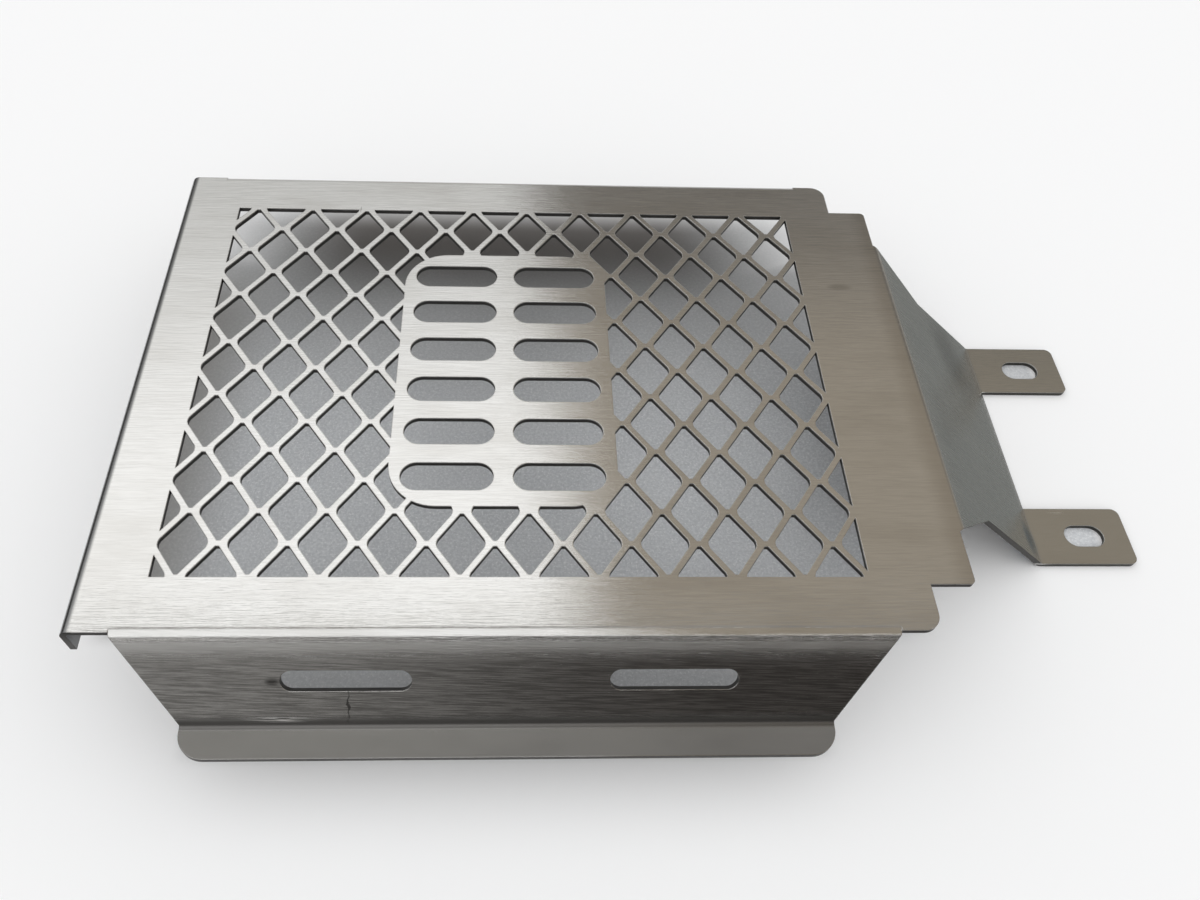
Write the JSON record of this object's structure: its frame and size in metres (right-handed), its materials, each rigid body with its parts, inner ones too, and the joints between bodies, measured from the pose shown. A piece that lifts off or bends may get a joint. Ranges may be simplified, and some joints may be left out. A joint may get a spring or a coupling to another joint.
{
  "type": "motorcycle radiator guard",
  "caption": "Folded stainless sheet guard with a diamond grille, a slotted centre plate, flared side walls with flanges, a short lip and a stepped-down flap with slotted tabs.",
  "frame": {"origin": "middle of the bounding box in X and Y, on the plane of the tabs' undersides in Z", "axes": "+X from the lip towards the tabs, +Y from the front wall to the rear wall, +Z out of the grille's face, away from the radiator"},
  "size_m": [0.3418, 0.243, 0.045],
  "materials": {
    "brushed_stainless": "brushed along the long side, deburred edges"
  },
  "bodies": {
    "root": {"radiator_guard": "brushed_stainless"}
  },
  "joints": []
}
